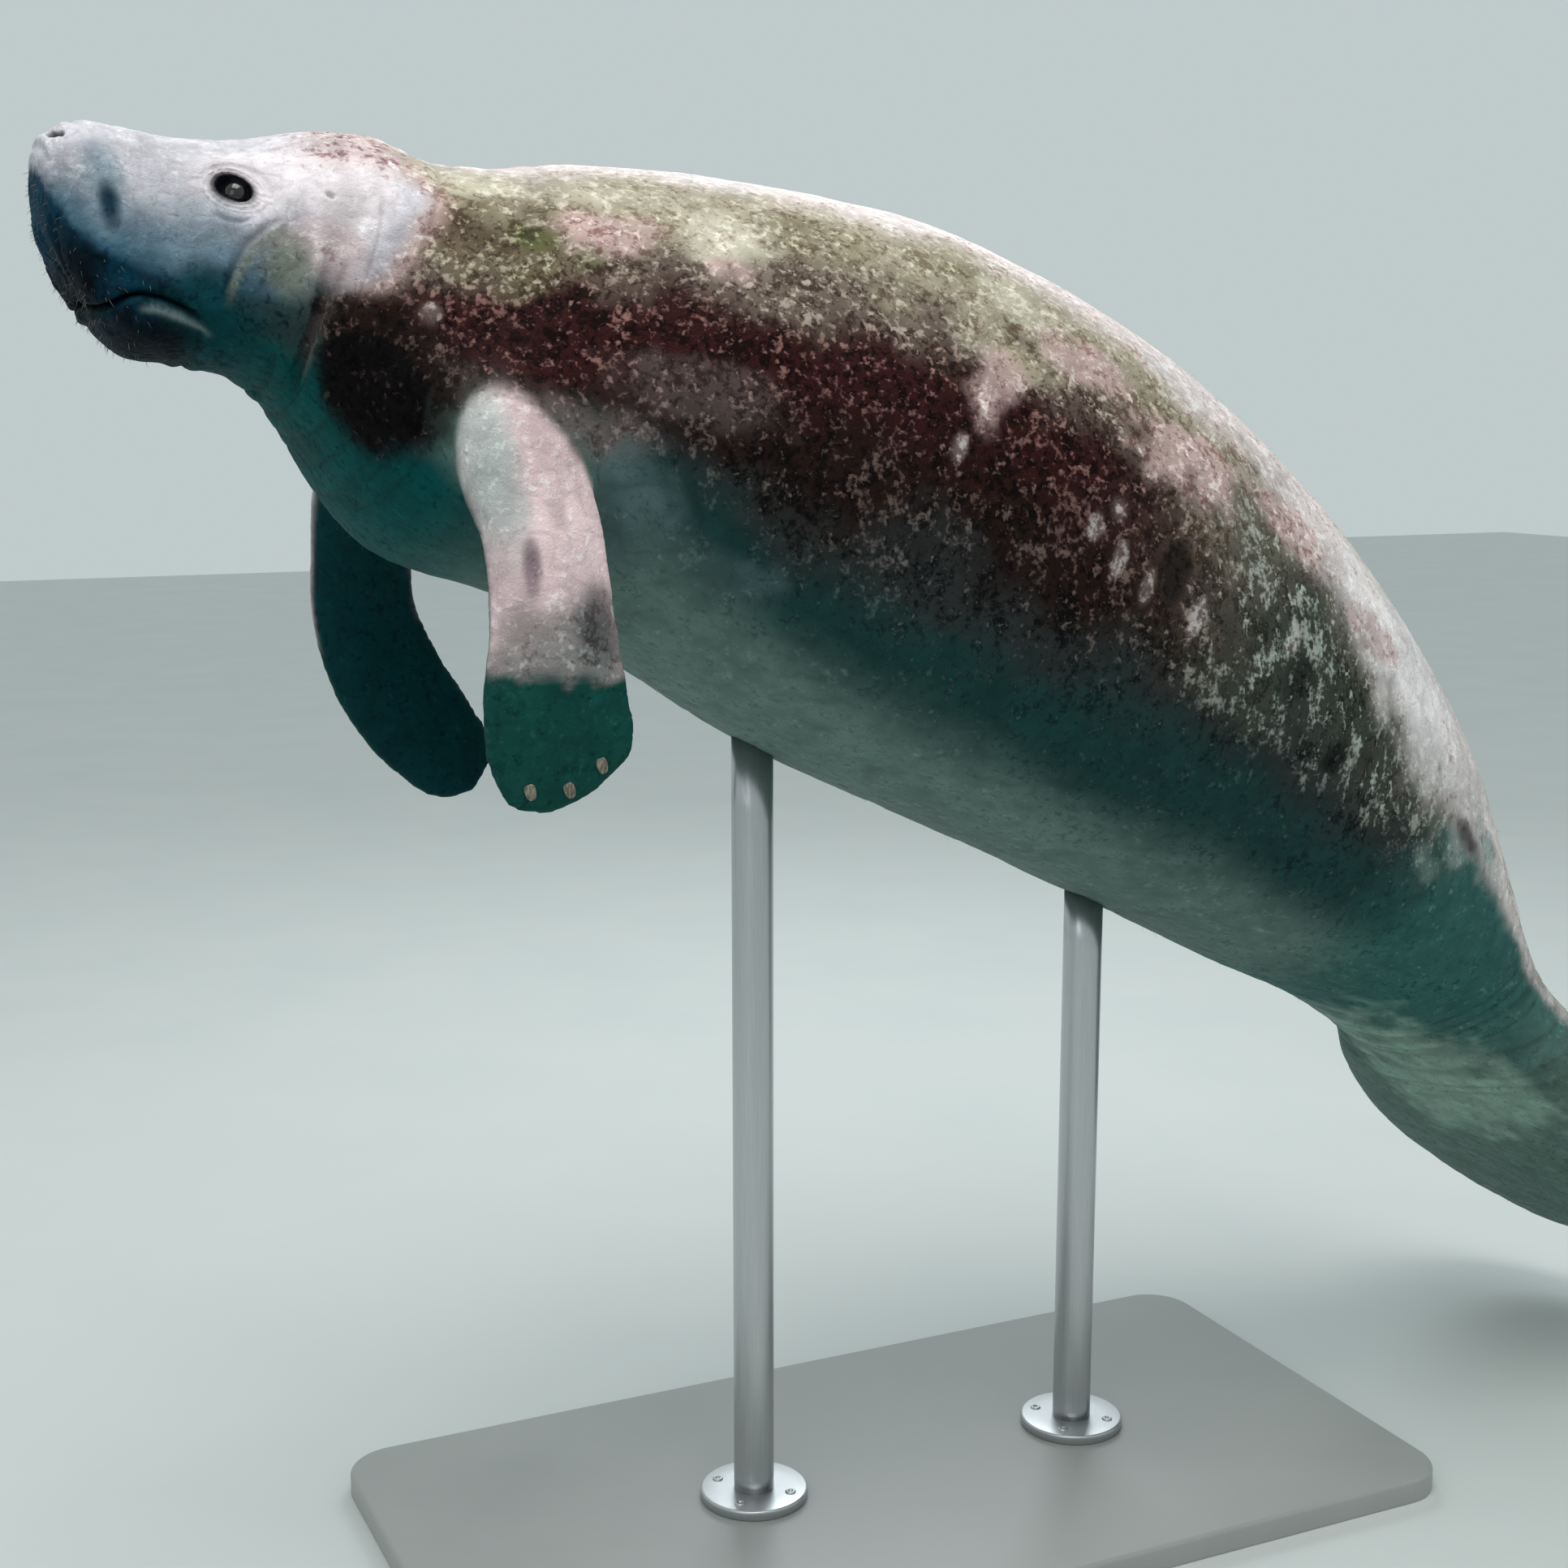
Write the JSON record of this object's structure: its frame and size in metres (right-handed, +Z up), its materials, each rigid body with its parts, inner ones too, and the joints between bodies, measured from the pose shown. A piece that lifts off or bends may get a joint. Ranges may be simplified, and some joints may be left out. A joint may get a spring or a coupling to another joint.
{
  "type": "life-size manatee model",
  "caption": "Life-size still model of a swimming manatee with a raised head, hanging flippers and a down-curved paddle tail, carried over a flat base by upright rods",
  "frame": {"origin": "centre of the underside of the stand's base, which is the plane of the floor", "axes": "+Z up, the head toward -X, the tail toward +X, the animal's left side toward -Y"},
  "size_m": [2.1855, 0.6641, 1.5948],
  "materials": {
    "skin_head": "thick wrinkled hide, pale pinkish grey with freckles, bare of algae",
    "skin_body": "thick pitted hide with maroon and olive algae and pale specks",
    "skin_tail": "thick grey-green hide, finely wrinkled",
    "eye": "wet and dark",
    "nail": "horn, worn and dull",
    "stand_base": "satin grey paint",
    "stand_rod": "brushed"
  },
  "bodies": {
    "root": {"head": "skin_head", "neck": "skin_head", "chest": "skin_body", "belly": "skin_body", "loin": "skin_body", "tail_stock": "skin_tail", "tail_paddle": "skin_tail", "left_flipper": "skin_head", "right_flipper": "skin_tail", "left_eye": "eye", "right_eye": "eye", "left_nail_front": "nail", "left_nail_middle": "nail", "left_nail_rear": "nail", "right_nail_front": "nail", "right_nail_middle": "nail", "right_nail_rear": "nail", "stand_base": "stand_base", "stand_flange_front": "stand_rod", "stand_flange_rear": "stand_rod", "stand_rod_front": "stand_rod", "stand_rod_rear": "stand_rod"}
  },
  "joints": []
}
